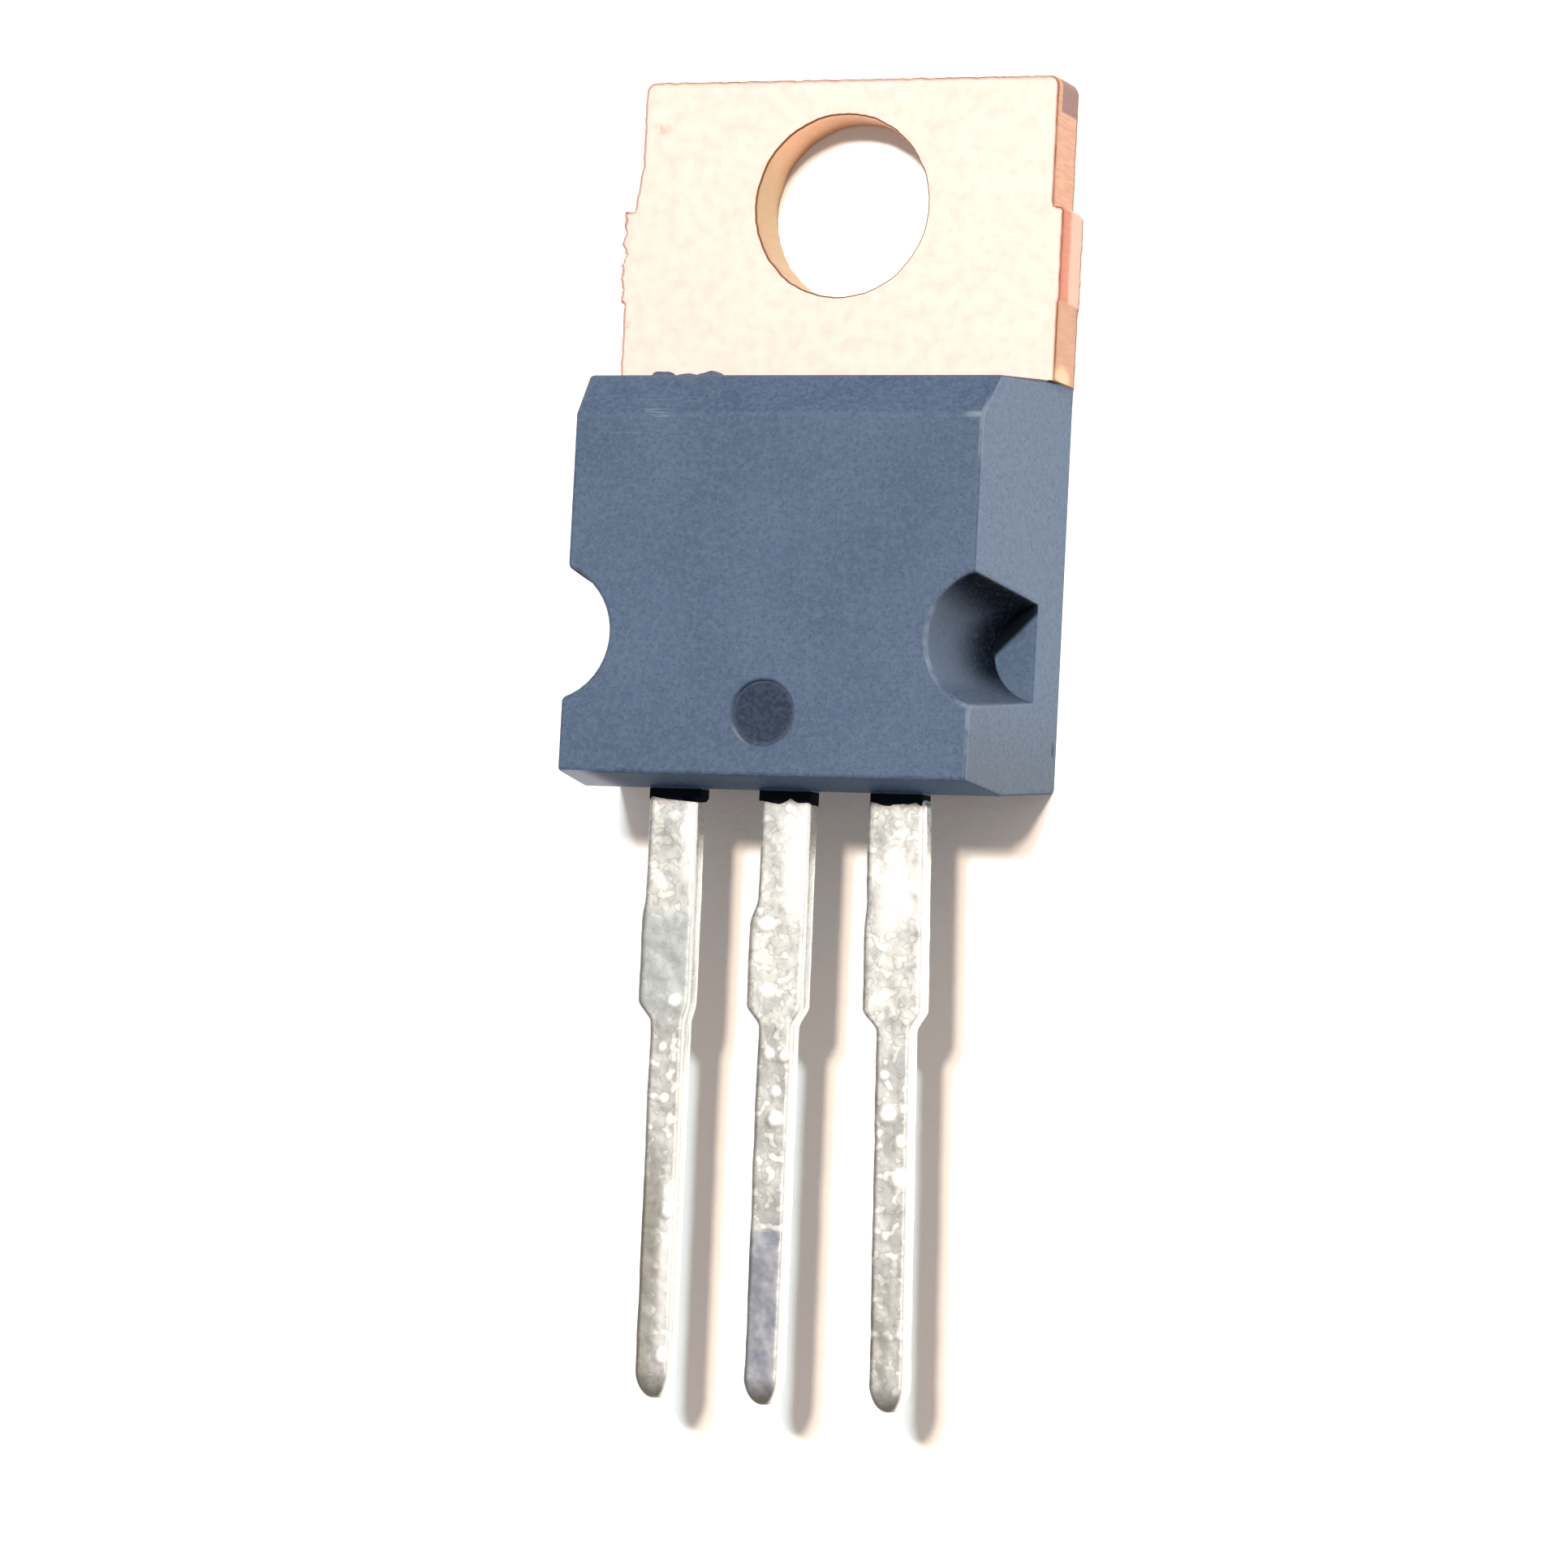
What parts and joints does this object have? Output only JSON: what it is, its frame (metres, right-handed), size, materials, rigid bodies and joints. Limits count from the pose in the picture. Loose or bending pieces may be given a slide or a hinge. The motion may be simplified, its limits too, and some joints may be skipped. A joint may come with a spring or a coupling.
{
  "type": "power transistor",
  "caption": "Power transistor with a flat copper mounting tab, a screw hole, a notched moulded body and a row of flat tinned leads, lying on its back.",
  "frame": {"origin": "axis of the tab's mounting hole at the flat metal back face, on which the part lies", "axes": "+X across the tab, +Y from the leads to the tab's free end, +Z out of the front face along the hole's axis"},
  "size_m": [0.0102, 0.0288, 0.0045],
  "materials": {
    "epoxy": "matte moulded epoxy, blue-grey black, fine grain",
    "copper": "pale satin copper, redder on the sheared edges, tinned along the middle lead",
    "tin": "solder-dipped copper, bright and uneven",
    "silicon": "smooth dark grey",
    "solder": "dull grey solder",
    "wire": "bright drawn wire"
  },
  "bodies": {
    "root": {"moulded_body": "epoxy", "copper_frame": "copper", "base_lead": "tin", "emitter_lead": "tin", "chip": "silicon", "chip_solder": "solder", "base_wire": "wire", "emitter_wire": "wire"}
  },
  "joints": []
}
